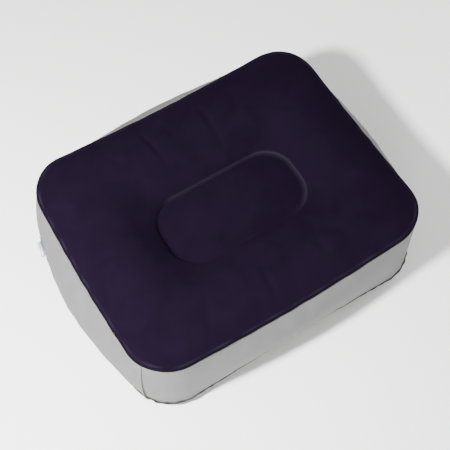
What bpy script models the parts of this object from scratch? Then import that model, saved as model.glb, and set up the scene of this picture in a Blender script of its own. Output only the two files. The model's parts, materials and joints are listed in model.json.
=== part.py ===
"""Inflatable wobble cushion: flocked top sheet, grey side band, dark bottom sheet, a stadium
shaped tie band inside, and a clear push-in valve on one short side.

Frame: +X along the length, +Y across it, +Z up. The origin is at the middle of the cushion, on the
surface it rests on."""
import math

import bmesh
import bpy
from mathutils import Matrix, Vector

# Outline of the welded rims, seen from above
HALF_LENGTH = 0.200
HALF_WIDTH = 0.1602
CORNER_RADIUS = 0.0515
SWELL_LONG = 0.0023
SWELL_SHORT = 0.0037
BOTTOM_SPREAD = 0.0045

# Heights of the rims: highest at the corners, drawn in at the middle of each side
BOTTOM_RIM_Z = 0.0075
TOP_RIM_Z = 0.127
DIP_LONG = 0.0148
DIP_SHORT = 0.0118
DIP_POWER = 1.7

# How far the side wall bows out between the rims. It starts some way from each corner, and the
# wall at the back, +Y, bows more than the front one, so the part is slid along Y to stand centred
BULGE_LEAST = 0.0004
BULGE_FRONT = 0.0193
BULGE_BACK = 0.0353
BULGE_SHORT = 0.0338
BULGE_START = 0.0090
BULGE_POWER = 0.75
CENTRE_Y = -0.0080

# Crown of the top sheet and belly of the bottom sheet, and the stadium shaped tie between them,
# whose middle is a little off the middle of the rims
RIDGE_Z = 0.134
BELLY_Z = -0.004
RIDGE_AT = 0.40
TIE_HALF_LENGTH = 0.096
TIE_HALF_WIDTH = 0.049
TIE_RADIUS = 0.0385
TIE_X = 0.0046
TIE_Y = -0.0066
TOP_TIE_Z = 0.106
BOTTOM_TIE_Z = 0.013
PAD_RISE = 0.006

# Sheets and welds
SHEET = 0.0008
GAP = 0.0003
WELD_HALF_THICKNESS = 0.0006
WELD_WIDTH = 0.004
TOP_WELD_LIP = 0.0005
BOTTOM_WELD_LIP = 0.0035
TIE_WELD_HALF_WIDTH = 0.003
VENT_RADIUS = 0.006
VENT_X = 0.035
LAP_WIDTH = 0.010
LAP_CORNER_ANGLE = 202.0
LAP_STANDOFF = 0.0015

# Valve, measured along its own axis from the wall's outer face; the axis points outwards
VALVE_Y = 0.090
WALL_HOLE_RADIUS = 0.0060
FLANGE_RADIUS = 0.013
FLANGE_BORE = 0.0056
FLANGE_THICKNESS = 0.0009
PATCH_RADIUS = 0.015
PATCH_BORE = 0.007
PATCH_DEPTH = 0.0046
STEM_RADIUS = 0.0052
STEM_BORE = 0.0032
STEM_DEPTH = 0.013
LIP_RADIUS = 0.0066
LIP_BASE = 0.0015
LIP_FACE = 0.0030
PLUG_RADIUS = 0.0029
PLUG_DEPTH = 0.0070
PLUG_HEAD_RADIUS = 0.0050
PLUG_HEAD_THICKNESS = 0.0025
PLUG_CHAMFER = 0.0007
TETHER_WIDTH = 0.0030
TETHER_THICKNESS = 0.0008
TETHER_REACH = 0.0160
TETHER_HANG = -60.0
FLAP_RADIUS = 0.0048
FLAP_THICKNESS = 0.0006

# Mesh fineness: segments on each straight of the outline and round each corner
LONG_SEGMENTS = 8
SHORT_SEGMENTS = 6
CORNER_SEGMENTS = 7
WALL_ROWS = 8
TURNED_SEGMENTS = 28


def material(name, colour, roughness, alpha=1.0):
    """A plain Principled material; colour is linear red, green and blue."""
    made = bpy.data.materials.new(name)
    made.use_nodes = True
    shader = made.node_tree.nodes["Principled BSDF"]
    shader.inputs["Base Color"].default_value = (*colour, 1.0)
    shader.inputs["Roughness"].default_value = roughness
    shader.inputs["Metallic"].default_value = 0.0
    shader.inputs["Alpha"].default_value = alpha
    made.diffuse_color = (*colour, alpha)
    return made


def flock_purple():
    return material("flock_purple", (0.017, 0.010, 0.024), 0.95)


def crushed_flock():
    return material("crushed_flock", (0.010, 0.006, 0.015), 0.60)


def grey_vinyl():
    return material("grey_vinyl", (0.42, 0.42, 0.42), 0.55)


def dark_vinyl():
    return material("dark_vinyl", (0.020, 0.020, 0.024), 0.50)


def clear_vinyl():
    return material("clear_vinyl", (0.60, 0.68, 0.72), 0.25, 0.6)


def outline(half_length, half_width, radius):
    """Stations round a rounded rectangle, anticlockwise, each a point with its outward direction."""
    stations = []
    corners = [(1, 1, 0), (-1, 1, 90), (-1, -1, 180), (1, -1, 270)]
    for index, (side_x, side_y, start) in enumerate(corners):
        centre = Vector((side_x * (half_length - radius), side_y * (half_width - radius)))
        for step in range(CORNER_SEGMENTS + 1):
            angle = math.radians(start + 90.0 * step / CORNER_SEGMENTS)
            outward = Vector((math.cos(angle), math.sin(angle)))
            stations.append((centre + outward * radius, outward))
        straight = LONG_SEGMENTS if index % 2 == 0 else SHORT_SEGMENTS
        next_x, next_y, _ = corners[(index + 1) % 4]
        end = Vector((next_x * (half_length - radius), next_y * (half_width - radius)))
        for step in range(1, straight):
            along = centre.lerp(end, step / straight)
            stations.append((along + outward * radius, outward.copy()))
    return stations


def tie_outline():
    """Stations round the tie, whose middle is at TIE_X, TIE_Y."""
    middle = Vector((TIE_X, TIE_Y))
    stations = outline(TIE_HALF_LENGTH, TIE_HALF_WIDTH, TIE_RADIUS)
    return [(point + middle, outward) for point, outward in stations]


def side_weights(point):
    """How far a rim point is towards the middle of a long side and of a short side, 0 to 1."""
    along = abs(point.x) / HALF_LENGTH
    across = abs(point.y) / HALF_WIDTH
    long_side = max(0.0, 1.0 - along**DIP_POWER) * across**4
    short_side = max(0.0, 1.0 - across**DIP_POWER) * along**4
    return long_side, short_side


def rim_point(station, outwards=0.0):
    """Plan position of a rim station, moved outwards, and the dip of the rim there. The bottom
    rim lies BOTTOM_SPREAD further out than the top rim, which callers add to outwards."""
    point, outward = station
    long_side, short_side = side_weights(point)
    swell = SWELL_LONG * long_side + SWELL_SHORT * short_side
    dip = DIP_LONG * long_side + DIP_SHORT * short_side
    return point + outward * (swell + outwards), dip


def wall_point(station, up):
    """A point of the side wall's outer face. up runs from -1 at the bottom rim to 1 at the top rim.
    The wall is a circular arc whose chord joins the rims and whose height is the local bulge."""
    plan, dip = rim_point(station, BOTTOM_SPREAD * (1 - up) / 2)
    long_side, short_side = side_weights(station[0])
    bulge_long = BULGE_BACK if station[0].y > 0 else BULGE_FRONT
    bulge = bulge_long * long_side**BULGE_POWER + BULGE_SHORT * short_side**BULGE_POWER
    bulge = max(BULGE_LEAST, bulge - BULGE_START)
    inset = WELD_HALF_THICKNESS + GAP
    half_chord = (TOP_RIM_Z - BOTTOM_RIM_Z) / 2 - dip - inset
    arc_radius = (half_chord**2 + bulge**2) / (2 * bulge)
    reach = math.asin(half_chord / arc_radius)
    outwards = arc_radius * (math.cos(up * reach) - math.cos(reach))
    height = (TOP_RIM_Z + BOTTOM_RIM_Z) / 2 + arc_radius * math.sin(up * reach)
    flat = plan + station[1] * outwards
    return Vector((flat.x, flat.y, height))


def crown_height(part, rim, ridge, tie):
    """Height along a line from the rim (part 0) over the ridge down to the tie weld (part 1):
    two quarter sine waves that meet at the ridge."""
    if part < RIDGE_AT:
        return rim + (ridge - rim) * math.sin(math.pi / 2 * part / RIDGE_AT)
    return tie + (ridge - tie) * math.cos(math.pi / 2 * (part - RIDGE_AT) / (1 - RIDGE_AT))


def panel_loops(top):
    """Loops of points from the rim to the middle of the top or the bottom sheet."""
    edge = outline(HALF_LENGTH, HALF_WIDTH, CORNER_RADIUS)
    tie = tie_outline()
    middle = Vector((TIE_X, TIE_Y))
    rim_z = TOP_RIM_Z if top else BOTTOM_RIM_Z
    ridge_z = RIDGE_Z if top else BELLY_Z
    tie_z = TOP_TIE_Z if top else BOTTOM_TIE_Z
    sign = 1 if top else -1
    loops = []
    for part in (0.0, 0.10, 0.20, 0.30, 0.40, 0.52, 0.64, 0.76, 0.88, 1.0):
        loop = []
        for edge_station, tie_station in zip(edge, tie):
            spread = 0.0 if top else BOTTOM_SPREAD
            outer, dip = rim_point(edge_station, spread - WELD_WIDTH - GAP)
            flat = outer.lerp(tie_station[0], part)
            height = crown_height(part, rim_z - sign * dip, ridge_z, tie_z)
            loop.append(Vector((flat.x, flat.y, max(0.0, height))))
        loops.append(loop)
    for scale in (0.75, 0.40):
        rise = sign * PAD_RISE * (1 - scale**2)
        loops.append([Vector((*middle.lerp(p, scale), tie_z + rise)) for p, _ in tie])
    return loops


def new_object(name, bm, made):
    """Turn a bmesh into a smooth shaded object with one material."""
    mesh = bpy.data.meshes.new(name)
    bm.to_mesh(mesh)
    bm.free()
    mesh.materials.append(made)
    mesh.shade_smooth()
    mesh.set_sharp_from_angle(angle=math.radians(40))
    piece = bpy.data.objects.new(name, mesh)
    bpy.context.scene.collection.objects.link(piece)
    return piece


def lofted(loops, closed=False, filled=False, capped=False):
    """A bmesh with a row of quads from each closed loop of points to the next. closed also joins
    the last loop to the first, filled covers the last loop, and capped covers both ends."""
    bm = bmesh.new()
    rings = [[bm.verts.new(point) for point in loop] for loop in loops]
    pairs = list(zip(rings, rings[1:]))
    if closed:
        pairs.append((rings[-1], rings[0]))
    for one, other in pairs:
        for index in range(len(one)):
            bm.faces.new((one[index - 1], one[index], other[index], other[index - 1]))
    if filled or capped:
        bm.faces.new(rings[-1])
    if capped:
        bm.faces.new(rings[0])
    if closed or capped:
        bmesh.ops.recalc_face_normals(bm, faces=bm.faces)
    return bm


def thicken(piece, behind=True):
    """Give an open sheet its thickness, behind its faces or in front of them."""
    solidify = piece.modifiers.new("sheet_thickness", "SOLIDIFY")
    solidify.thickness = SHEET
    solidify.offset = -1.0 if behind else 1.0
    return piece


def cut(piece, cutter):
    """Subtract a hidden cutter from a piece."""
    cutter.hide_render = True
    cutter.display_type = "WIRE"
    boolean = piece.modifiers.new("hole", "BOOLEAN")
    boolean.operation = "DIFFERENCE"
    boolean.solver = "EXACT"
    boolean.object = cutter


def cylinder(bm, radius, depth, matrix):
    bmesh.ops.create_cone(
        bm, cap_ends=True, segments=TURNED_SEGMENTS, radius1=radius, radius2=radius, depth=depth, matrix=matrix
    )


def top_sheet():
    bm = lofted(panel_loops(top=True), filled=True)
    return thicken(new_object("top_panel", bm, flock_purple()))


def bottom_sheet():
    bm = lofted(panel_loops(top=False), filled=True)
    return thicken(new_object("bottom_panel", bm, dark_vinyl()), behind=False)


def rim_weld(name, top, lip, made):
    """The fused edge: a flat strip round the rim, from its inner edge to its outer lip."""
    loops = []
    level = TOP_RIM_Z if top else BOTTOM_RIM_Z
    sign = 1 if top else -1
    half = WELD_HALF_THICKNESS
    spread = 0.0 if top else BOTTOM_SPREAD
    for outwards, rise in ((-WELD_WIDTH, -half), (lip, -half), (lip, half), (-WELD_WIDTH, half)):
        loop = []
        for station in outline(HALF_LENGTH, HALF_WIDTH, CORNER_RADIUS):
            plan, dip = rim_point(station, spread + outwards)
            loop.append(Vector((plan.x, plan.y, level - sign * dip + rise)))
        loops.append(loop)
    return new_object(name, lofted(loops, closed=True), made)


def tie_weld(name, low, high, made):
    """The tie band's fused hem: a flat stadium strip lying against the sheet."""
    loops = []
    half = TIE_WELD_HALF_WIDTH
    for outwards, height in ((-half, low), (half, low), (half, high), (-half, high)):
        stations = tie_outline()
        loops.append([Vector((*(p + outward * outwards), height)) for p, outward in stations])
    return new_object(name, lofted(loops, closed=True), made)


def side_band(valve):
    """The wall, one bowed band all round, with the valve's hole in it."""
    stations = outline(HALF_LENGTH, HALF_WIDTH, CORNER_RADIUS)
    loops = []
    for row in range(WALL_ROWS + 1):
        up = -1 + 2 * row / WALL_ROWS
        loops.append([wall_point(station, up) for station in stations])
    piece = thicken(new_object("side_wall", lofted(loops), grey_vinyl()))
    bm = bmesh.new()
    cylinder(bm, WALL_HOLE_RADIUS, 0.012, Matrix.Identity(4))
    cutter = new_object("valve_hole_cutter", bm, grey_vinyl())
    cutter.matrix_world = valve
    cut(piece, cutter)
    return piece


def side_lap():
    """The band's overlapping end, a narrow upright strip outside the wall at one corner."""
    centre = Vector((CORNER_RADIUS - HALF_LENGTH, CORNER_RADIUS - HALF_WIDTH))
    half_angle = math.degrees(LAP_WIDTH / 2 / CORNER_RADIUS)
    bm = bmesh.new()
    rows = []
    for row in range(WALL_ROWS + 1):
        up = (-1 + 2 * row / WALL_ROWS) * 0.95
        pair = []
        for degrees in (LAP_CORNER_ANGLE - half_angle, LAP_CORNER_ANGLE + half_angle):
            angle = math.radians(degrees)
            outward = Vector((math.cos(angle), math.sin(angle)))
            point = wall_point((centre + outward * CORNER_RADIUS, outward), up)
            pair.append(bm.verts.new(point + Vector((*outward, 0.0)) * LAP_STANDOFF))
        rows.append(pair)
    for (left, right), (left_above, right_above) in zip(rows, rows[1:]):
        bm.faces.new((left, right, right_above, left_above))
    return thicken(new_object("side_wall_lap", bm, grey_vinyl()))


def tie_band():
    """The inner band: an upright stadium strip with round vents through it."""
    stations = tie_outline()
    low = BOTTOM_TIE_Z + 2 * SHEET + 2 * GAP
    high = TOP_TIE_Z - 2 * SHEET - 2 * GAP
    loops = [[Vector((p.x, p.y, z)) for p, _ in stations] for z in (low, (low + high) / 2, high)]
    piece = thicken(new_object("inner_band", lofted(loops), grey_vinyl()))
    bm = bmesh.new()
    middle = (low + high) / 2
    for x in (-VENT_X, VENT_X):
        across = Matrix.Translation((x, TIE_Y, middle)) @ Matrix.Rotation(math.pi / 2, 4, "X")
        cylinder(bm, VENT_RADIUS, 3 * TIE_HALF_WIDTH, across)
    cutter = new_object("vent_cutter", bm, grey_vinyl())
    cut(piece, cutter)
    return piece


def tie_lap():
    """The inner band's overlapping end, a strip inside it."""
    low = BOTTOM_TIE_Z + 2 * SHEET + 3 * GAP
    high = TOP_TIE_Z - 2 * SHEET - 3 * GAP
    bm = bmesh.new()
    inner = TIE_Y - TIE_HALF_WIDTH + SHEET + GAP
    size = Vector((LAP_WIDTH, SHEET, high - low))
    place = Matrix.Translation((0, inner + SHEET / 2, (low + high) / 2)) @ Matrix.Diagonal((*size, 1))
    bmesh.ops.create_cube(bm, size=1.0, matrix=place)
    return new_object("inner_band_lap", bm, grey_vinyl())


def valve_frame():
    """The valve's place on the wall at mid height: its local Z is the wall's outward direction."""

    def middle(y):
        return wall_point((Vector((-HALF_LENGTH, y)), Vector((-1.0, 0.0))), 0.0)

    step = 0.004
    along = (middle(VALVE_Y + step) - middle(VALVE_Y - step)).normalized()
    outward = Vector((-along.y, along.x, 0.0))
    if outward.x > 0:
        outward.negate()
    upward = Vector((0.0, 0.0, 1.0))
    sideways = upward.cross(outward)
    turn = Matrix((sideways, upward, outward)).transposed().to_4x4()
    return Matrix.Translation(middle(VALVE_Y)) @ turn


def turned(name, profile, made, valve, solid=False):
    """A piece turned round the valve's axis from a profile of (radius, height) points. A solid
    profile starts and ends on the axis; any other is a closed ring."""
    bm = bmesh.new()
    verts = [bm.verts.new((radius, 0.0, height)) for radius, height in profile]
    ends = verts[1:] if solid else verts[1:] + verts[:1]
    edges = [bm.edges.new(pair) for pair in zip(verts, ends)]
    bmesh.ops.spin(
        bm, geom=verts + edges, cent=(0, 0, 0), axis=(0, 0, 1), angle=2 * math.pi, steps=TURNED_SEGMENTS, use_merge=True
    )
    bmesh.ops.remove_doubles(bm, verts=bm.verts, dist=1e-6)
    bmesh.ops.recalc_face_normals(bm, faces=bm.faces)
    piece = new_object(name, bm, made)
    piece.matrix_world = valve
    return piece


def ring_profile(inner, outer, low, high):
    return [(inner, low), (outer, low), (outer, high), (inner, high)]


def valve_pieces(valve):
    clear = clear_vinyl()
    flange = ring_profile(FLANGE_BORE, FLANGE_RADIUS, GAP, GAP + FLANGE_THICKNESS)
    turned("valve_flange", flange, clear, valve)
    patch = ring_profile(PATCH_BORE, PATCH_RADIUS, -PATCH_DEPTH, -PATCH_DEPTH + SHEET)
    turned("valve_patch", patch, grey_vinyl(), valve)
    stem = [
        (STEM_BORE, -STEM_DEPTH),
        (STEM_RADIUS, -STEM_DEPTH),
        (STEM_RADIUS, LIP_BASE),
        (LIP_RADIUS, LIP_BASE),
        (LIP_RADIUS, LIP_FACE),
        (STEM_BORE, LIP_FACE),
    ]
    turned("valve_stem", stem, clear, valve)
    head_base = LIP_FACE + GAP
    head_top = head_base + PLUG_HEAD_THICKNESS
    plug = [
        (0.0, -PLUG_DEPTH),
        (PLUG_RADIUS - PLUG_CHAMFER, -PLUG_DEPTH),
        (PLUG_RADIUS, -PLUG_DEPTH + PLUG_CHAMFER),
        (PLUG_RADIUS, head_base),
        (PLUG_HEAD_RADIUS, head_base),
        (PLUG_HEAD_RADIUS, head_top - PLUG_CHAMFER),
        (PLUG_HEAD_RADIUS - PLUG_CHAMFER, head_top),
        (0.0, head_top),
    ]
    turned("valve_plug", plug, clear, valve, solid=True)
    tether(clear, valve)
    check_flap(clear, valve)


def tether(made, valve):
    """The plug's strap: out from the side of the stem's lip, round a half turn, and back to the
    side of the plug's head. Its section is a small rectangle carried along that path."""
    low = (LIP_BASE + LIP_FACE) / 2
    high = LIP_FACE + GAP + PLUG_HEAD_THICKNESS * 0.7
    turn = (high - low) / 2
    middle = (low + high) / 2
    centre = TETHER_REACH - turn
    path = [(LIP_RADIUS + GAP, low, 0.0), ((LIP_RADIUS + centre) / 2, low, 0.0)]
    for step in range(9):
        angle = math.pi * step / 8
        path.append((centre + turn * math.sin(angle), middle - turn * math.cos(angle), angle))
    path.append(((PLUG_HEAD_RADIUS + centre) / 2, high, math.pi))
    path.append((PLUG_HEAD_RADIUS + GAP, high, math.pi))
    loops = []
    for reach, height, angle in path:
        side = Vector((0, TETHER_WIDTH / 2, 0))
        across = Vector((math.sin(angle), 0, -math.cos(angle))) * (TETHER_THICKNESS / 2)
        point = Vector((reach, 0, height))
        loops.append([point - side - across, point + side - across, point + side + across, point - side + across])
    piece = new_object("plug_tether", lofted(loops, capped=True), made)
    piece.matrix_world = valve @ Matrix.Rotation(math.radians(TETHER_HANG), 4, "Z")


def check_flap(made, valve):
    """The non-return flap: a disc behind the stem's inner end, hinged at its top edge."""
    hinge_up = FLAP_RADIUS + GAP
    hinge_depth = -STEM_DEPTH - GAP - FLAP_THICKNESS / 2
    bm = bmesh.new()
    cylinder(bm, FLAP_RADIUS, FLAP_THICKNESS, Matrix.Translation((0, -hinge_up, 0)))
    piece = new_object("check_flap", bm, made)
    piece.matrix_world = valve @ Matrix.Translation((0, hinge_up, hinge_depth))


def centre_in_plan():
    """Slide every object along Y, so that the uneven bulges leave the part centred."""
    for piece in bpy.data.objects:
        piece.location.y += CENTRE_Y


def clear_scene():
    for old in list(bpy.data.objects):
        bpy.data.objects.remove(old, do_unlink=True)


def build():
    clear_scene()
    valve = valve_frame()
    top_sheet()
    rim_weld("top_rim_weld", True, TOP_WELD_LIP, crushed_flock())
    under_top = TOP_TIE_Z - SHEET - GAP
    tie_weld("top_centre_weld", under_top - SHEET, under_top, crushed_flock())
    side_band(valve)
    side_lap()
    bottom_sheet()
    rim_weld("bottom_rim_weld", False, BOTTOM_WELD_LIP, dark_vinyl())
    over_bottom = BOTTOM_TIE_Z + SHEET + GAP
    tie_weld("bottom_centre_weld", over_bottom, over_bottom + SHEET, dark_vinyl())
    tie_band()
    tie_lap()
    valve_pieces(valve)
    centre_in_plan()


build()
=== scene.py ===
"""An inflatable wobble cushion: flocked top sheet, grey side band, dark bottom sheet, an inner tie
band and a clear push-in air valve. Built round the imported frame, in metres, +Z up."""
import json

import bmesh
import bpy
import numpy as np
from mathutils import Matrix, Vector


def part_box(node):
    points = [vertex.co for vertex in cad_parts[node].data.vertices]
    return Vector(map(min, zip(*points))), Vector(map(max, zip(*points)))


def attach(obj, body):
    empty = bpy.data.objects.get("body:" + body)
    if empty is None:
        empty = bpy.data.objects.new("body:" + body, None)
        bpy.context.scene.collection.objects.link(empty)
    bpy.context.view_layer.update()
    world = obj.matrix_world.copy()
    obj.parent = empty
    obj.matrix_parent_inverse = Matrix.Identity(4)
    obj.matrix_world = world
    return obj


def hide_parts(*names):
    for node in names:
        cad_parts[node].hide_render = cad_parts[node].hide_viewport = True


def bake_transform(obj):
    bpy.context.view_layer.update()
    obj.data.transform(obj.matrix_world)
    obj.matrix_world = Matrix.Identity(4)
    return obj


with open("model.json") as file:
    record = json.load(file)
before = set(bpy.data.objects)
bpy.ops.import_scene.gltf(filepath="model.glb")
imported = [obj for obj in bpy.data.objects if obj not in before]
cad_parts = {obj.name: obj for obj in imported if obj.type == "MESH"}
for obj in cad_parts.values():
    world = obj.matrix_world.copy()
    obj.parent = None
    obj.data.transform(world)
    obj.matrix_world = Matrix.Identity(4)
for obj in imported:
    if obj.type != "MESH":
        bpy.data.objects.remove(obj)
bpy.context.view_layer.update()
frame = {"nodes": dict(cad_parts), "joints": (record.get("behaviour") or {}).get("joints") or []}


# ---------------------------------------------------------------------------------------------
# Bottom sheet. Calendered PVC film, black with a dull shine, die cut to a rounded rectangle.
# It is welded to the side band all round and to the tie band in the middle, and air pressure
# pushes the rest down until it lies flat on whatever carries the cushion.
# ---------------------------------------------------------------------------------------------
film = 0.0008
half_length = 0.200
half_width = 0.1602
corner_radius = 0.0515
bottom_spread = 0.0045
bottom_rim_z = 0.0075
top_rim_z = 0.127
weld_width = 0.004
tie_half_length = 0.096
tie_half_width = 0.049
tie_radius = 0.0385
tie_middle = np.array([0.0046, -0.0066])
rim_length = 1.36
rim_dip = (0.0148, 0.0118)
rim_swell = (0.0023, 0.0037)
slide = np.array([0.0, -0.0080, 0.0])
floor_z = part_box("bottom_panel")[0].z


def rounded_outline(length, width, radius, columns):
    """Points evenly spaced round a rounded rectangle of these half sizes, anticlockwise from the
    middle of the +X side, with their outward directions. The centre of curvature runs along an
    inner rectangle while the direction stands still, then waits at a corner while it turns."""
    inner_x = length - radius
    inner_y = width - radius
    quarter = np.pi / 2 * radius
    steps = [0, inner_y, quarter, 2 * inner_x, quarter, 2 * inner_y, quarter, 2 * inner_x, quarter, inner_y]
    knots = np.cumsum(steps)
    along = np.linspace(0.0, knots[-1], columns, endpoint=False)
    centre_x = np.interp(along, knots, inner_x * np.array([1, 1, 1, -1, -1, -1, -1, 1, 1, 1]))
    centre_y = np.interp(along, knots, inner_y * np.array([0, 1, 1, 1, 1, -1, -1, -1, -1, 0]))
    angle = np.interp(along, knots, np.pi / 2 * np.array([0, 0, 1, 1, 2, 2, 3, 3, 4, 4]))
    outward = np.stack([np.cos(angle), np.sin(angle)], axis=-1)
    return np.stack([centre_x, centre_y], axis=-1) + radius * outward, outward


def side_weights(plan):
    """Nearness of rim points to the middle of a long and of a short side, 0 at the corners and 1
    in the middle: one minus the share of the half side to the power 1.7, times the share of the
    other half side to the power 4."""
    along = np.minimum(np.abs(plan[..., 0]) / half_length, 1.0)
    across = np.minimum(np.abs(plan[..., 1]) / half_width, 1.0)
    return (1 - along**1.7) * across**4, (1 - across**1.7) * along**4


def corner_weight(plan):
    """Nearness of rim points to a corner: one minus the root of the two side weights together."""
    long_side, short_side = side_weights(plan)
    return 1 - np.clip(long_side + short_side, 0, 1) ** 0.5


def tie_outline(columns):
    """Points round the tie, a stadium whose middle is a little off the middle of the rims."""
    tie, outward = rounded_outline(tie_half_length, tie_half_width, tie_radius, columns)
    return tie + tie_middle, outward


def ripple(plan, pitch, seed):
    """A smooth wavy value round the rim, mostly from -1 to 1. Five sine waves of the angle round the
    middle, with whole numbers of waves near the rim's length over the pitch, seeded."""
    draw = np.random.default_rng(seed)
    waves = np.rint(rim_length / pitch * draw.uniform(0.6, 1.5, 5))
    phases = draw.uniform(0.0, 2 * np.pi, 5)
    turn = np.arctan2(plan[..., 1] / half_width, plan[..., 0] / half_length)
    return np.sin(turn[..., None] * waves + phases).mean(axis=-1) * 1.6


def rim_line(plan, outward, outwards, top):
    """Points of a weld line: the outline, swollen a little in the middle of each side and moved
    outwards, at the rim's height less its dip in the middle of each side, and slightly wavy."""
    long_side, short_side = side_weights(plan)
    swell = rim_swell[0] * long_side + rim_swell[1] * short_side + 0.0003 * ripple(plan, 0.034, 11)
    swell = swell + (0.0 if top else bottom_spread)
    dip = rim_dip[0] * long_side + rim_dip[1] * short_side
    height = top_rim_z - dip if top else bottom_rim_z + dip
    height = height + 0.0002 * ripple(plan, 0.040, 12)
    flat = plan + outward * (swell + outwards)[..., None]
    return np.concatenate([flat, height[..., None]], axis=-1)


def stand(name, data):
    """Puts data into the scene as an object."""
    made = bpy.data.objects.new(name, data)
    bpy.context.scene.collection.objects.link(made)
    return made


def grid_mesh(name, grid, round_rows=False, poles=False):
    """Quads between neighbouring points of a (rows, columns) grid whose last column joins the
    first. round_rows joins the last row to the first, and poles merges rows drawn to a point.
    The grid is slid along Y so that the cushion, whose back bows more, stands centred."""
    rows, columns = grid.shape[:2]
    corner = np.arange(rows * columns).reshape(rows, columns)
    if round_rows:
        corner = np.concatenate([corner, corner[:1]])
    beside = np.roll(corner, -1, axis=1)
    quads = np.stack([corner[:-1], beside[:-1], beside[1:], corner[1:]], axis=-1).reshape(-1, 4)
    mesh = bpy.data.meshes.new(name)
    mesh.from_pydata((grid + slide).reshape(-1, 3).tolist(), [], quads.tolist())
    if poles:
        bm = bmesh.new()
        bm.from_mesh(mesh)
        bmesh.ops.remove_doubles(bm, verts=bm.verts, dist=1e-6)
        bm.to_mesh(mesh)
        bm.free()
    mesh.shade_smooth()
    return stand(name, mesh)


def panel_grid(top, rows=60, columns=600):
    """The top or bottom sheet: each column runs from the rim to the tie weld and on to the middle.
    Height rises from the rim to a ridge as a power of a sine and falls to the tie weld as a power
    of a cosine, with a 1.6 mm lip at its foot. Inside the weld it is a low dome. The flocked sheet
    lies over its weld strip and leaves a narrow edge of it showing."""
    edge, outward = rounded_outline(half_length, half_width, corner_radius, columns)
    tie, _ = tie_outline(columns)
    rim = rim_line(edge, outward, np.full(columns, -0.0010 if top else -weld_width), top)
    rim[:, 2] += 0.0015 if top else 0.0
    sign = 1.0 if top else -1.0
    ridge_z = 0.134 if top else -0.004
    tie_z = 0.106 if top else 0.013
    ridge_at = 0.48
    lip_height = 0.0016
    part = (1 - np.cos(np.linspace(0, np.pi, rows))) / 2
    rise = np.sin(np.pi / 2 * np.clip(part / ridge_at, 0, 1)) ** 0.95
    fall = np.cos(np.pi / 2 * np.clip((part - ridge_at) / (1 - ridge_at), 0, 1)) ** 0.92
    flat = rim[None, :, :2] * (1 - part)[:, None, None] + tie[None] * part[:, None, None]
    before = rim[None, :, 2] + (ridge_z - rim[None, :, 2]) * rise[:, None]
    lip = lip_height * (1 - np.exp(-(1 - part) * 0.1 / 0.0014))
    after = np.broadcast_to((tie_z + (ridge_z - tie_z - lip_height) * fall)[:, None], before.shape)
    after = after + np.where(top, lip, 0.0)[:, None]
    height = np.where(part[:, None] < ridge_at, before, after)
    scale = np.linspace(1.0, 0.0, 17)[1:]
    pad_flat = tie_middle + (tie - tie_middle)[None] * scale[:, None, None]
    pad_rise = sign * 0.007 * (1 - scale**2) ** 0.8
    pad_height = np.broadcast_to((tie_z + pad_rise)[:, None], (len(scale), columns))
    flat = np.concatenate([flat, pad_flat])
    height = np.concatenate([height, pad_height])
    return np.concatenate([flat, np.maximum(height, floor_z)[..., None]], axis=-1)


def thicken(piece, thickness):
    """Gives a sheet its thickness on its inner side."""
    solidify = piece.modifiers.new("film", "SOLIDIFY")
    solidify.thickness = thickness
    solidify.offset = -1.0
    return piece


def paint(code):
    """A linear colour with alpha from an sRGB hex code, by the sRGB curve."""
    share = np.array([int(code[i : i + 2], 16) for i in (0, 2, 4)]) / 255
    linear = np.where(share <= 0.04045, share / 12.92, ((share + 0.055) / 1.055) ** 2.4)
    return (*linear.tolist(), 1.0)


def add(tree, kind, values=None, links=None, **settings):
    """Adds one node: settings are its own properties, values its socket constants, and links
    the sockets of other nodes that feed it."""
    node = tree.nodes.new(kind)
    for key, value in settings.items():
        setattr(node, key, value)
    for key, value in (values or {}).items():
        node.inputs[key].default_value = value
    for key, source in (links or {}).items():
        tree.links.new(source, node.inputs[key])
    return node


def new_material(name):
    """An empty node material and its node tree."""
    made = bpy.data.materials.new(name)
    made.use_nodes = True
    tree = made.node_tree
    tree.nodes.clear()
    return made, tree


def black_calendered_pvc():
    """Calendered PVC film: rolled between hot steel cylinders, so it is smooth with a faint haze
    and a soft broad highlight. A 6 mm mottle varies the gloss and 0.4 mm grain breaks it up."""
    made, tree = new_material("black_calendered_pvc")
    place = add(tree, "ShaderNodeTexCoord").outputs["Object"]
    mottle = add(tree, "ShaderNodeTexNoise", {"Scale": 160.0, "Detail": 3.0}, {"Vector": place})
    grain = add(tree, "ShaderNodeTexNoise", {"Scale": 2400.0, "Detail": 2.0}, {"Vector": place})
    tone = add(tree, "ShaderNodeMix", data_type="RGBA")
    tree.links.new(mottle.outputs["Fac"], tone.inputs["Factor"])
    tone.inputs["A"].default_value = paint("1b1b1d")
    tone.inputs["B"].default_value = paint("29292b")
    gloss = add(tree, "ShaderNodeMapRange", {"To Min": 0.55, "To Max": 0.72}, {"Value": mottle.outputs["Fac"]})
    relief = add(tree, "ShaderNodeBump", {"Strength": 0.25, "Distance": 0.0002}, {"Height": grain.outputs["Fac"]})
    shader = add(tree, "ShaderNodeBsdfPrincipled", {"IOR": 1.53, "Specular IOR Level": 0.3})
    tree.links.new(tone.outputs["Result"], shader.inputs["Base Color"])
    tree.links.new(gloss.outputs["Result"], shader.inputs["Roughness"])
    tree.links.new(relief.outputs["Normal"], shader.inputs["Normal"])
    add(tree, "ShaderNodeOutputMaterial", None, {"Surface": shader.outputs["BSDF"]})
    return made


black_film = black_calendered_pvc()
bottom_grid = panel_grid(top=False)
bottom_sheet = thicken(grid_mesh("bottom_sheet", bottom_grid[::-1], poles=True), film)
bottom_sheet.data.materials.append(black_film)
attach(bottom_sheet, "base")
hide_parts("bottom_panel")


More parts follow.
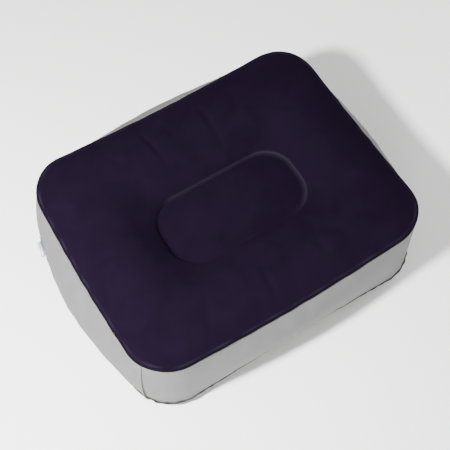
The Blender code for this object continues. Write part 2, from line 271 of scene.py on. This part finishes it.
# ---------------------------------------------------------------------------------------------
# Bottom flange. Where a hot electrode fuses the bottom sheet to the side band, the two films
# become one flat strip that stands out all round. It ruffles at the corners, where the pressed
# film has too much length.
# ---------------------------------------------------------------------------------------------
def weld_strip(name, top, section, ruffle, columns=900):
    """A closed strip round the rim: the section's (outwards, up) points carried along the rim
    line, lifted by the ruffle times how far out each point is. The ruffle grows at the corners,
    and a ruffled strip is narrower along the sides, where the air pulls it back under the wall."""
    edge, outward = rounded_outline(half_length, half_width, corner_radius, columns)
    corner = corner_weight(edge)
    section = np.array(section)
    reach = np.clip(section[:, 0] / section[:, 0].max(), 0, None)
    lift = ruffle * corner * (0.3 + ripple(edge, 0.017, 21))
    out = np.ones(columns)
    if ruffle:
        out = 1 + 0.35 * corner * ripple(edge, 0.011, 22) - 0.9 * (1 - corner)
    reaches = [np.where(x > 0, x * out, x) for x in section[:, 0]]
    grid = np.stack([rim_line(edge, outward, outwards, top) for outwards in reaches])
    grid[..., 2] += section[:, 1, None] + reach[:, None] * lift[None]
    return grid_mesh(name, grid, round_rows=True)


def strip_section(inner, outer, half_thickness):
    """A flat strip's section with rounded edges, anticlockwise from its inner lower corner."""
    turn = np.linspace(-np.pi / 2, np.pi / 2, 5)
    right = np.stack([outer - half_thickness * (1 - np.cos(turn)), half_thickness * np.sin(turn)], axis=-1)
    left = np.stack([inner + half_thickness * (1 - np.cos(turn)), -half_thickness * np.sin(turn)], axis=-1)
    return np.concatenate([right, left])


flange = weld_strip("bottom_flange", False, strip_section(-weld_width, 0.0038, 0.0005), 0.0034)
flange.data.materials.append(black_film)
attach(flange, "base")
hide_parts("bottom_rim_weld")


# ---------------------------------------------------------------------------------------------
# Tie band. A grey PVC strip stands on edge inside, round a stadium outline, and is welded to
# both sheets by its folded hems, so that the middle of the cushion can't balloon. Round vents
# let the air pass through it, and its ends overlap on one long side.
# ---------------------------------------------------------------------------------------------
tie_low = 0.0152
tie_high = 0.1038


def grey_calendered_pvc():
    """Matt grey PVC film: pressed against a sand blasted roller, so it has a dull
    satin face. The 0.5 mm grain is that roller's grit, and 20 mm clouds are uneven plasticiser."""
    made, tree = new_material("grey_calendered_pvc")
    place = add(tree, "ShaderNodeTexCoord").outputs["Object"]
    cloud = add(tree, "ShaderNodeTexNoise", {"Scale": 45.0, "Detail": 5.0, "Roughness": 0.65}, {"Vector": place})
    grit = add(tree, "ShaderNodeTexNoise", {"Scale": 2000.0, "Detail": 2.0}, {"Vector": place})
    tone = add(tree, "ShaderNodeMix", data_type="RGBA")
    tree.links.new(cloud.outputs["Fac"], tone.inputs["Factor"])
    tone.inputs["A"].default_value = paint("505150")
    tone.inputs["B"].default_value = paint("606160")
    gloss = add(tree, "ShaderNodeMapRange", {"To Min": 0.68, "To Max": 0.82}, {"Value": cloud.outputs["Fac"]})
    relief = add(tree, "ShaderNodeBump", {"Strength": 0.2, "Distance": 0.0001}, {"Height": grit.outputs["Fac"]})
    shader = add(tree, "ShaderNodeBsdfPrincipled", {"IOR": 1.53, "Specular IOR Level": 0.25})
    tree.links.new(tone.outputs["Result"], shader.inputs["Base Color"])
    tree.links.new(gloss.outputs["Result"], shader.inputs["Roughness"])
    tree.links.new(relief.outputs["Normal"], shader.inputs["Normal"])
    add(tree, "ShaderNodeOutputMaterial", None, {"Surface": shader.outputs["BSDF"]})
    return made


grey_film = grey_calendered_pvc()


def upright_band(name, low, high, rows=12, columns=320):
    """A stadium outline carried straight up from low to high."""
    tie, _ = tie_outline(columns)
    height = np.linspace(low, high, rows)
    flat = np.broadcast_to(tie[None], (rows, columns, 2))
    tall = np.broadcast_to(height[:, None, None], (rows, columns, 1))
    return grid_mesh(name, np.concatenate([flat, tall], axis=-1))


def apply_modifiers(piece):
    """Replaces the mesh by what its modifiers make of it."""
    depsgraph = bpy.context.evaluated_depsgraph_get()
    final = bpy.data.meshes.new_from_object(piece.evaluated_get(depsgraph))
    piece.modifiers.clear()
    piece.data = final
    return piece


def punch(piece, radius, depth, holes):
    """Cuts round holes through a piece with one cylinder for each hole's matrix."""
    cutter_mesh = bmesh.new()
    for hole in holes:
        bmesh.ops.create_cone(
            cutter_mesh, cap_ends=True, segments=40, radius1=radius, radius2=radius, depth=depth, matrix=hole
        )
    cutter_data = bpy.data.meshes.new("punch")
    cutter_mesh.to_mesh(cutter_data)
    cutter_mesh.free()
    cutter = stand("punch", cutter_data)
    punched = piece.modifiers.new("punched", "BOOLEAN")
    punched.object = cutter
    apply_modifiers(piece)
    bpy.data.objects.remove(cutter)
    piece.data.materials.clear()
    return piece


tie_band = thicken(upright_band("tie_band", tie_low, tie_high), film)
vent_place = Vector((0.035, tie_middle[1] + slide[1], (tie_low + tie_high) / 2))
vent_turn = Matrix.Rotation(np.pi / 2, 4, "X")
vent_holes = [Matrix.Translation(vent_place * Vector((side, 1, 1))) @ vent_turn for side in (-1, 1)]
vent_radius = 0.006
punch(tie_band, vent_radius, 0.14, vent_holes)
tie_band.data.materials.append(grey_film)
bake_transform(tie_band)
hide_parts("inner_band")


def face_outwards(piece, cap_sides=0):
    """Turns every face outwards, after closing open ends that have this many sides."""
    bm = bmesh.new()
    bm.from_mesh(piece.data)
    if cap_sides:
        bmesh.ops.holes_fill(bm, edges=bm.edges, sides=cap_sides)
    bmesh.ops.recalc_face_normals(bm, faces=bm.faces)
    bm.to_mesh(piece.data)
    bm.free()


def wall_tab(name, x, y, width, thickness, low, high, rows=24):
    """A straight upright tab facing Y, as a closed strip: four corners carried up in rows."""
    corners = np.array([[-1, -1], [1, -1], [1, 1], [-1, 1]]) * np.array([width / 2, thickness / 2])
    height = np.linspace(low, high, rows)
    flat = np.broadcast_to((corners + np.array([x, y]))[None], (rows, 4, 2))
    tall = np.broadcast_to(height[:, None, None], (rows, 4, 1))
    piece = grid_mesh(name, np.concatenate([flat, tall], axis=-1))
    face_outwards(piece, cap_sides=4)
    piece.data.set_sharp_from_angle(angle=0.6)
    return piece


tie_lap_y = tie_middle[1] - tie_half_width + 1.9 * film
tie_lap = wall_tab("tie_band_lap", 0.0, tie_lap_y, 0.010, film, tie_low + 0.0003, tie_high - 0.0003)
tie_lap.data.materials.append(grey_film)
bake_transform(tie_lap)
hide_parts("inner_band_lap")


def tie_hem(name, middle_z, columns=320):
    """The band's folded hem, fused flat against a sheet: a thin strip 6 mm wide round the tie."""
    tie, outward = tie_outline(columns)
    section = strip_section(-0.003, 0.003, 0.0004)
    flat = tie[None] + outward[None] * section[:, 0, None, None]
    tall = np.broadcast_to((middle_z + section[:, 1])[:, None, None], (len(section), columns, 1))
    return grid_mesh(name, np.concatenate([flat, tall], axis=-1), round_rows=True)


bottom_hem = tie_hem("bottom_tie_hem", 0.0145)
bottom_hem.data.materials.append(black_film)
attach(bottom_hem, "base")
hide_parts("bottom_centre_weld")


# ---------------------------------------------------------------------------------------------
# Side band. One long strip of the grey film, standing on edge between the two rims. Air bows it
# outwards: hardly at the corners, where the rims are furthest apart, and most in the middle of
# each side. Its ends overlap in an upright lap near one corner.
# ---------------------------------------------------------------------------------------------
wall_inset = 0.0009
wall_middle_z = (top_rim_z + bottom_rim_z) / 2


def wall_arc(plan):
    """Radius and half angle of the wall's circular arc at each rim point. The arc's chord joins
    the rims and its height is the bow there: more at the back than at the front, and a little
    more on the valve's side than opposite."""
    long_side, short_side = side_weights(plan)
    dip = rim_dip[0] * long_side + rim_dip[1] * short_side
    bow_long = np.where(plan[..., 1] > 0, 0.0353, 0.0193)
    bow_short = np.where(plan[..., 0] > 0, 0.0300, 0.0338)
    bow = np.maximum(0.0004, bow_long * long_side**0.75 + bow_short * short_side**0.75 - 0.0090)
    half_chord = (top_rim_z - bottom_rim_z) / 2 - dip - wall_inset
    radius = (half_chord**2 + bow**2) / (2 * bow)
    return radius, np.arcsin(half_chord / radius)


def wall_grid(rows=30, columns=720):
    """The side band's outer face: from the bottom rim to the top rim along the local arc. Small
    puckers press in from both welds and fade over 15 mm, strongest at the corners."""
    edge, outward = rounded_outline(half_length, half_width, corner_radius, columns)
    radius, half_angle = wall_arc(edge)
    foot = rim_line(edge, outward, np.zeros(columns), False)
    head = rim_line(edge, outward, np.zeros(columns), True)
    up = np.linspace(-1.0, 1.0, rows)[:, None]
    bow = radius * (np.cos(up * half_angle) - np.cos(half_angle))
    height = wall_middle_z + radius * np.sin(up * half_angle)
    share = (up + 1) / 2
    flat = foot[None, :, :2] * (1 - share)[..., None] + head[None, :, :2] * share[..., None]
    near_foot = np.exp(-(((up + 1) * 0.05) / 0.009) ** 2)
    near_head = np.exp(-(((1 - up) * 0.05) / 0.006) ** 2)
    corner = corner_weight(edge)
    pucker = near_foot * (0.3 + corner) * 0.0012 * ripple(edge, 0.016, 31)
    pucker += near_head * (0.3 + corner) * 0.0004 * ripple(edge, 0.020, 32)
    ends = np.clip((1 - np.abs(up)) * 20, 0, 1)
    flat = flat + outward[None] * (bow + pucker * ends)[..., None]
    return np.concatenate([flat, height[..., None]], axis=-1)


def wall_face(y, z, stand_off):
    """Points on the short side's wall at given Y and Z, moved off the face by stand_off."""
    plan = np.stack([np.full_like(y, -half_length), y], axis=-1)
    radius, half_angle = wall_arc(plan)
    _, short_side = side_weights(plan)
    rise = z - wall_middle_z
    up = np.arcsin(rise / radius) / half_angle
    bow = np.sqrt(radius**2 - rise**2) - radius * np.cos(half_angle)
    swell = rim_swell[1] * short_side + bottom_spread * (1 - up) / 2
    return np.stack([-(half_length + swell + bow + stand_off), y, z], axis=-1)


stem_joint = [joint for joint in frame["joints"] if joint["name"] == "stem_push"][0]
valve_out = Vector(stem_joint["axis"]).normalized()
valve_up = Vector((0.0, 0.0, 1.0))
valve_side = valve_up.cross(valve_out)
valve_frame = np.array([valve_side, valve_up, valve_out])
valve_y = 0.090
valve_at = wall_face(np.array(valve_y), np.array(wall_middle_z), 0.0)

side_band = thicken(grid_mesh("side_band", wall_grid()), film)
valve_hole = Matrix(valve_frame).transposed().to_4x4()
valve_hole.translation = valve_at + slide
valve_hole_radius = 0.006
punch(side_band, valve_hole_radius, 0.012, [valve_hole])
side_band.data.materials.append(grey_film)
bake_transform(side_band)
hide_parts("side_wall")

lap_angle = np.radians(202.0)
lap_width = 0.010


def lap_grid(rows=40, columns=9):
    """The band's outer end, a strip over the wall at one corner. It lies on the wall at one edge
    and stands off it at the other, more towards the bottom."""
    across = np.linspace(-0.5, 0.5, columns)
    angle = lap_angle + across * lap_width / corner_radius
    outward = np.stack([np.cos(angle), np.sin(angle)], axis=-1)
    centre = np.array([corner_radius - half_length, corner_radius - half_width])
    plan = centre + corner_radius * outward
    radius, half_angle = wall_arc(plan)
    up = np.linspace(-0.96, 0.97, rows)[:, None]
    bow = radius * (np.cos(up * half_angle) - np.cos(half_angle))
    height = wall_middle_z + radius * np.sin(up * half_angle)
    lift = 0.0011 + (0.5 + across) ** 3 * (0.0008 + 0.0018 * (1 - up) / 2)
    flat = plan[None] + outward[None] * (bow + lift + bottom_spread * (1 - up) / 2)[..., None]
    return np.concatenate([flat, height[..., None]], axis=-1) + slide


def patch_mesh(name, grid):
    """Quads over a (rows, columns) grid that is open on all four sides."""
    rows, columns = grid.shape[:2]
    corner = np.arange(rows * columns).reshape(rows, columns)
    quads = np.stack([corner[:-1, :-1], corner[:-1, 1:], corner[1:, 1:], corner[1:, :-1]], axis=-1).reshape(-1, 4)
    mesh = bpy.data.meshes.new(name)
    mesh.from_pydata(grid.reshape(-1, 3).tolist(), [], quads.tolist())
    mesh.shade_smooth()
    return stand(name, mesh)


side_lap = thicken(patch_mesh("side_band_lap", lap_grid()), 0.0006)
side_lap.data.materials.append(grey_film)
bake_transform(side_lap)
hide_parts("side_wall_lap")


# ---------------------------------------------------------------------------------------------
# Top sheet. PVC film with a nap of short nylon fibres, dark purple, shot upright into wet glue
# by static charge. It reads as dull velvet, with soft creases where the air pulls on the welds,
# a thin paler line along the rim, crushed flat fibres with a painted highlight on them, and a
# paler line on the lit side of the tie weld's lip, which is a painted highlight.
# ---------------------------------------------------------------------------------------------
def flocked_pvc():
    """Flocked PVC: fibres far too fine to draw, so a 1.2 mm speckle stands for their
    tufts and 30 mm clouds for where the nap leans. The sheen is light caught on fibre tips."""
    made, tree = new_material("flocked_pvc")
    place = add(tree, "ShaderNodeTexCoord").outputs["Object"]
    tuft = add(tree, "ShaderNodeTexNoise", {"Scale": 850.0, "Detail": 3.0, "Roughness": 0.7}, {"Vector": place})
    nap = add(tree, "ShaderNodeTexNoise", {"Scale": 32.0, "Detail": 3.0, "Distortion": 0.6}, {"Vector": place})
    # Paler colour from this attribute: crushed flock with a painted highlight at the rim, a painted highlight at the
    # tie.
    crush_with_highlight_share = add(tree, "ShaderNodeAttribute", attribute_name="crush_with_highlight").outputs["Fac"]
    tone = add(tree, "ShaderNodeMix", data_type="RGBA")
    tree.links.new(nap.outputs["Fac"], tone.inputs["Factor"])
    tone.inputs["A"].default_value = paint("0c0711")
    tone.inputs["B"].default_value = paint("120b18")
    crush_with_highlight = add(tree, "ShaderNodeMix", data_type="RGBA")
    tree.links.new(crush_with_highlight_share, crush_with_highlight.inputs["Factor"])
    tree.links.new(tone.outputs["Result"], crush_with_highlight.inputs["A"])
    crush_with_highlight.inputs["B"].default_value = paint("1d1923")
    relief = add(tree, "ShaderNodeBump", {"Strength": 0.5, "Distance": 0.0004}, {"Height": tuft.outputs["Fac"]})
    shader = add(tree, "ShaderNodeBsdfPrincipled", {"Roughness": 0.95, "IOR": 1.45, "Specular IOR Level": 0.0})
    shader.inputs["Sheen Weight"].default_value = 0.02
    shader.inputs["Sheen Roughness"].default_value = 0.5
    shader.inputs["Sheen Tint"].default_value = paint("8a6aa0")
    tree.links.new(crush_with_highlight.outputs["Result"], shader.inputs["Base Color"])
    tree.links.new(relief.outputs["Normal"], shader.inputs["Normal"])
    add(tree, "ShaderNodeOutputMaterial", None, {"Surface": shader.outputs["BSDF"]})
    return made


def creased(grid, start, end, depth, width):
    """Presses a soft crease into a sheet between two points in plan: depth times a bell curve of
    the distance to that line, fading out towards its ends."""
    start, end = np.array(start), np.array(end)
    run = end - start
    share = np.clip(((grid[..., :2] - start) @ run) / (run @ run), 0, 1)
    gap = np.linalg.norm(grid[..., :2] - start - share[..., None] * run, axis=-1)
    pressed = grid.copy()
    pressed[..., 2] -= depth * np.exp(-((gap / width) ** 2)) * (0.25 + 0.75 * np.sin(np.pi * share))
    return pressed


flock = flocked_pvc()
top_grid = panel_grid(top=True)
top_grid = creased(top_grid, (-0.047, 0.140), (-0.039, 0.076), 0.0016, 0.0040)
top_grid = creased(top_grid, (-0.020, 0.138), (-0.011, 0.100), 0.0009, 0.0050)
top_grid = creased(top_grid, (0.038, 0.132), (0.036, 0.066), 0.0015, 0.0050)
top_grid = creased(top_grid, (0.084, 0.134), (0.074, 0.092), 0.0008, 0.0050)
top_grid = creased(top_grid, (-0.104, 0.136), (-0.084, 0.094), 0.0009, 0.0060)
top_grid = creased(top_grid, (0.186, -0.014), (0.130, -0.019), 0.0012, 0.0060)
top_grid = creased(top_grid, (0.184, 0.040), (0.146, 0.034), 0.0007, 0.0050)
top_grid = creased(top_grid, (-0.184, 0.002), (-0.142, 0.000), 0.0011, 0.0055)
top_grid = creased(top_grid, (-0.182, -0.052), (-0.150, -0.046), 0.0007, 0.0050)
top_grid = creased(top_grid, (-0.020, -0.146), (-0.016, -0.100), 0.0012, 0.0045)
top_grid = creased(top_grid, (0.066, -0.144), (0.058, -0.104), 0.0008, 0.0055)
top_grid = creased(top_grid, (-0.108, -0.140), (-0.092, -0.102), 0.0008, 0.0055)
top_sheet = grid_mesh("top_sheet", top_grid, poles=True)
top_sheet.data.materials.append(flock)


def crush_and_highlight_marks(rows=60, columns=600):
    """How much paler colour each point gets: bell curves of the distance from the rim and from
    the tie weld. Round the rim it is patchy, crushed flock with a painted highlight on it. Round the tie
    it is a painted highlight, only on the side that faces the key light."""
    part = ((1 - np.cos(np.linspace(0, np.pi, rows))) / 2)[:, None]
    edge, outward = rounded_outline(half_length, half_width, corner_radius, columns)
    patchy = np.clip(0.45 + 0.5 * ripple(edge, 0.050, 41), 0, 1)
    # Painted highlight: the tie mark is kept to the side facing the key light, where the weld's lip catches it.
    lit_side = np.clip(0.25 + outward @ np.array([0.80, 0.60]), 0, 1)
    rim_mark = patchy * np.exp(-(((part * 0.105 - 0.0020) / 0.0008) ** 2))
    return rim_mark + lit_side * np.exp(-((((1 - part) * 0.105 - 0.0008) / 0.0009) ** 2))


marks = np.zeros(len(top_sheet.data.vertices))
rim_to_tie = crush_and_highlight_marks().ravel()
marks[: len(rim_to_tie)] = rim_to_tie
# Stores the paler colour's share: crushed flock with painted highlight at the rim, painted highlight at the tie.
top_sheet.data.attributes.new("crush_with_highlight", "FLOAT", "POINT").data.foreach_set("value", marks)
thicken(top_sheet, film)
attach(top_sheet, "top")
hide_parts("top_panel")

top_hem = tie_hem("top_tie_hem", 0.1045)
top_hem.data.materials.append(grey_film)
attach(top_hem, "top")
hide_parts("top_centre_weld")


# ---------------------------------------------------------------------------------------------
# Top weld. The electrode melts the flocked sheet's edge onto the top of the side band and mats
# the fibres into a hard, nearly black line a few millimetres wide.
# ---------------------------------------------------------------------------------------------
def matted_flock():
    """Melted, matted flock: dark and dull, with 3 mm patches where the fibres melted unevenly."""
    made, tree = new_material("matted_flock")
    place = add(tree, "ShaderNodeTexCoord").outputs["Object"]
    streak = add(tree, "ShaderNodeTexNoise", {"Scale": 300.0, "Detail": 3.0}, {"Vector": place})
    tone = add(tree, "ShaderNodeMix", data_type="RGBA")
    tree.links.new(streak.outputs["Fac"], tone.inputs["Factor"])
    tone.inputs["A"].default_value = paint("070509")
    tone.inputs["B"].default_value = paint("0f0c12")
    gloss = add(tree, "ShaderNodeMapRange", {"To Min": 0.70, "To Max": 0.90}, {"Value": streak.outputs["Fac"]})
    relief = add(tree, "ShaderNodeBump", {"Strength": 0.4, "Distance": 0.0004}, {"Height": streak.outputs["Fac"]})
    shader = add(tree, "ShaderNodeBsdfPrincipled", {"IOR": 1.53, "Specular IOR Level": 0.04})
    tree.links.new(tone.outputs["Result"], shader.inputs["Base Color"])
    tree.links.new(gloss.outputs["Result"], shader.inputs["Roughness"])
    tree.links.new(relief.outputs["Normal"], shader.inputs["Normal"])
    add(tree, "ShaderNodeOutputMaterial", None, {"Surface": shader.outputs["BSDF"]})
    return made


top_weld = weld_strip("top_weld", True, strip_section(-weld_width - 0.0002, 0.0005, 0.0006), 0.0)
top_weld.data.materials.append(matted_flock())
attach(top_weld, "top")
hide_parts("top_rim_weld")


# ---------------------------------------------------------------------------------------------
# Valve. Soft clear PVC mouldings on one short side: a thin flange welded round a hole in the
# wall, a neck that is pushed in flush after inflating, a plug on a strap, and inside a patch
# and a flap that stops the air running back.
# ---------------------------------------------------------------------------------------------
def clear_moulded_pvc(cast):
    """Injection moulded plasticised PVC: clear with a cold blue cast, soft and a little cloudy,
    smooth from the steel mould. The cast is given: thin pieces get a darker one, painted shade for the
    wall seen through them."""
    made, tree = new_material("clear_moulded_pvc")
    place = add(tree, "ShaderNodeTexCoord").outputs["Object"]
    cloud = add(tree, "ShaderNodeTexNoise", {"Scale": 600.0, "Detail": 2.0}, {"Vector": place})
    gloss = add(tree, "ShaderNodeMapRange", {"To Min": 0.08, "To Max": 0.30}, {"Value": cloud.outputs["Fac"]})
    shader = add(tree, "ShaderNodeBsdfPrincipled", {"IOR": 1.53, "Transmission Weight": 0.5})
    shader.inputs["Base Color"].default_value = paint(cast)
    tree.links.new(gloss.outputs["Result"], shader.inputs["Roughness"])
    add(tree, "ShaderNodeOutputMaterial", None, {"Surface": shader.outputs["BSDF"]})
    return made


clear_pvc = clear_moulded_pvc("c4c8da")
# A darker copy of the same clear PVC for the flange, strap and flap: painted shade for the grey wall seen through
# them.
clear_pvc_painted_shade = clear_moulded_pvc("8b90a8")


def turned(name, profile, ring, segments=72):
    """A profile of (radius, height) points turned round the valve's axis. A ring's profile closes
    on itself, and any other starts and ends on the axis."""
    profile = np.array(profile)
    angle = np.linspace(0, 2 * np.pi, segments, endpoint=False)
    radius, height = profile[:, 0, None], profile[:, 1, None]
    local = np.stack([radius * np.cos(angle), radius * np.sin(angle), height + 0 * angle], axis=-1)
    grid = local @ valve_frame + valve_at
    piece = grid_mesh(name, grid, round_rows=ring, poles=not ring)
    face_outwards(piece)
    piece.data.set_sharp_from_angle(angle=0.7)
    soften = piece.modifiers.new("moulded_edges", "BEVEL")
    soften.width = 0.0002
    soften.segments = 2
    piece.data.materials.append(clear_pvc)
    return piece


def wall_disc(name, inner, outer, near, far, material):
    """A flat ring moulded to the wall: circles of growing radius laid on the wall's face, near it
    and then far from it, joined into a closed ring."""
    angle = np.linspace(0, 2 * np.pi, 72, endpoint=False)
    radii = np.concatenate([np.linspace(inner, outer, 8), np.linspace(outer, inner, 8)])[:, None]
    lift = np.concatenate([np.full(8, near), np.full(8, far)])[:, None]
    y = valve_at[1] + radii * np.cos(angle)
    z = valve_at[2] + radii * np.sin(angle)
    piece = grid_mesh(name, wall_face(y, z, lift + 0 * angle), round_rows=True)
    face_outwards(piece)
    piece.data.set_sharp_from_angle(angle=0.7)
    piece.data.materials.append(material)
    return piece


valve_flange = wall_disc("valve_flange_disc", 0.0056, 0.0125, 0.0006, 0.0012, clear_pvc_painted_shade)
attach(valve_flange, "valve_seat")
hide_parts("valve_flange")

valve_patch = wall_disc("valve_patch_disc", 0.0070, 0.0150, -0.0020, -0.0028, grey_film)
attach(valve_patch, "valve_seat")
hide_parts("valve_patch")

stem_profile = [(0.0032, -0.013), (0.0052, -0.013), (0.0052, 0.0015)]
stem_profile += [(0.0066, 0.0015), (0.0066, 0.0030), (0.0032, 0.0030)]
valve_stem = turned("valve_neck", stem_profile, ring=True)
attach(valve_stem, "stem")
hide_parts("valve_stem")

plug_profile = [(0.0, -0.007), (0.0022, -0.007), (0.0029, -0.0063), (0.0029, 0.0033), (0.0050, 0.0033)]
plug_profile += [(0.0050, 0.0051), (0.0043, 0.0058), (0.0020, 0.0058), (0.0, 0.0055)]
valve_plug = turned("valve_plug_moulding", plug_profile, ring=False)
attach(valve_plug, "plug")
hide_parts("valve_plug")

tether_low = 0.00225
tether_high = 0.00505


def tether_grid():
    """The plug's strap: a rounded section carried out from the neck's lip, round a half turn and
    back to the plug's head."""
    turn = (tether_high - tether_low) / 2
    centre = 0.016 - turn
    swing = np.linspace(0, np.pi, 17)
    out = np.linspace(0.0069, centre, 10)[:-1]
    back = np.linspace(centre, 0.0053, 10)[1:]
    reach = np.concatenate([out, centre + turn * np.sin(swing), back])
    height = np.concatenate([np.full(9, tether_low), tether_low + turn * (1 - np.cos(swing)), np.full(9, tether_high)])
    facing = np.concatenate([np.zeros(9), swing, np.full(9, np.pi)])
    round_turn = np.linspace(0, 2 * np.pi, 16, endpoint=False)
    side = 0.0015 * np.sign(np.cos(round_turn)) * np.abs(np.cos(round_turn)) ** 0.5
    thick = 0.0004 * np.sign(np.sin(round_turn)) * np.abs(np.sin(round_turn)) ** 0.5
    x = reach[:, None] + thick * np.sin(facing)[:, None]
    z = height[:, None] - thick * np.cos(facing)[:, None]
    y = np.broadcast_to(side, x.shape)
    hang = np.radians(-60.0)
    local = np.stack([x * np.cos(hang) - y * np.sin(hang), x * np.sin(hang) + y * np.cos(hang), z], axis=-1)
    return local @ valve_frame + valve_at


tether = grid_mesh("plug_strap", tether_grid())
face_outwards(tether, cap_sides=16)
tether.data.materials.append(clear_pvc_painted_shade)
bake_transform(tether)
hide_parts("plug_tether")

flap = frame["nodes"]["check_flap"]
flap.material_slots[0].material = clear_pvc_painted_shade


# ---------------------------------------------------------------------------------------------
# Studio. A pale floor, a small key panel from the valve's side, two broad fill panels, low at the
# back and low at the front, and even light from all round.
# ---------------------------------------------------------------------------------------------
def pale_floor():
    """Matt white paper: even, with no grain that would show at this distance."""
    made, tree = new_material("white_paper")
    place = add(tree, "ShaderNodeTexCoord").outputs["Object"]
    fibre = add(tree, "ShaderNodeTexNoise", {"Scale": 900.0, "Detail": 2.0}, {"Vector": place})
    relief = add(tree, "ShaderNodeBump", {"Strength": 0.05, "Distance": 0.0001}, {"Height": fibre.outputs["Fac"]})
    shader = add(tree, "ShaderNodeBsdfPrincipled", {"Base Color": paint("f0f0ef"), "Roughness": 0.9})
    tree.links.new(relief.outputs["Normal"], shader.inputs["Normal"])
    add(tree, "ShaderNodeOutputMaterial", None, {"Surface": shader.outputs["BSDF"]})
    return made


floor_span = np.array([-3.0, 3.0])
floor_x, floor_y = np.meshgrid(floor_span, floor_span)
floor_grid = np.stack([floor_x, floor_y, np.full((2, 2), floor_z - 0.0002)], axis=-1)
floor = patch_mesh("floor", floor_grid)
floor.data.materials.append(pale_floor())

view_azimuth = np.radians(-31.738)
view_elevation = np.radians(63.613)
to_right = Vector((np.cos(view_azimuth), np.sin(view_azimuth), 0.0))
to_back = Vector((-np.sin(view_azimuth), np.cos(view_azimuth), 0.0))
look = to_back * np.cos(view_elevation) - Vector((0, 0, np.sin(view_elevation)))
view_up = to_right.cross(look)

camera_data = bpy.data.cameras.new("camera")
camera_data.sensor_width = 36.0
camera_data.lens = 71.7
camera = stand("camera", camera_data)
camera.location = Vector(slide) - to_right * 0.0016 + view_up * 0.0212 - look * 1.2191
camera.rotation_euler = look.to_track_quat("-Z", "Y").to_euler()
bpy.context.scene.camera = camera


def soft_panel(name, place, diameter, watts):
    """A round diffusing panel that faces the cushion and stays out of sight itself."""
    data = bpy.data.lights.new(name, "AREA")
    data.shape = "DISK"
    data.size = diameter
    data.energy = watts
    panel = stand(name, data)
    panel.location = place
    panel.rotation_euler = place.to_track_quat("Z", "Y").to_euler()
    panel.visible_camera = False


soft_panel("key_panel", -to_right * 0.49 - to_back * 0.42 + Vector((0, 0, 0.90)), 0.13, 48.0)
soft_panel("back_panel", to_right * 1.2 + to_back * 1.0 + Vector((0, 0, 0.5)), 1.2, 24.0)
soft_panel("front_panel", to_right * 0.1 - to_back * 1.5 + Vector((0, 0, 0.20)), 0.7, 38.0)

world = bpy.data.worlds.new("even_fill")
world.use_nodes = True
world.node_tree.nodes["Background"].inputs["Color"].default_value = (1.0, 1.0, 1.0, 1.0)
world.node_tree.nodes["Background"].inputs["Strength"].default_value = 0.60
bpy.context.scene.world = world
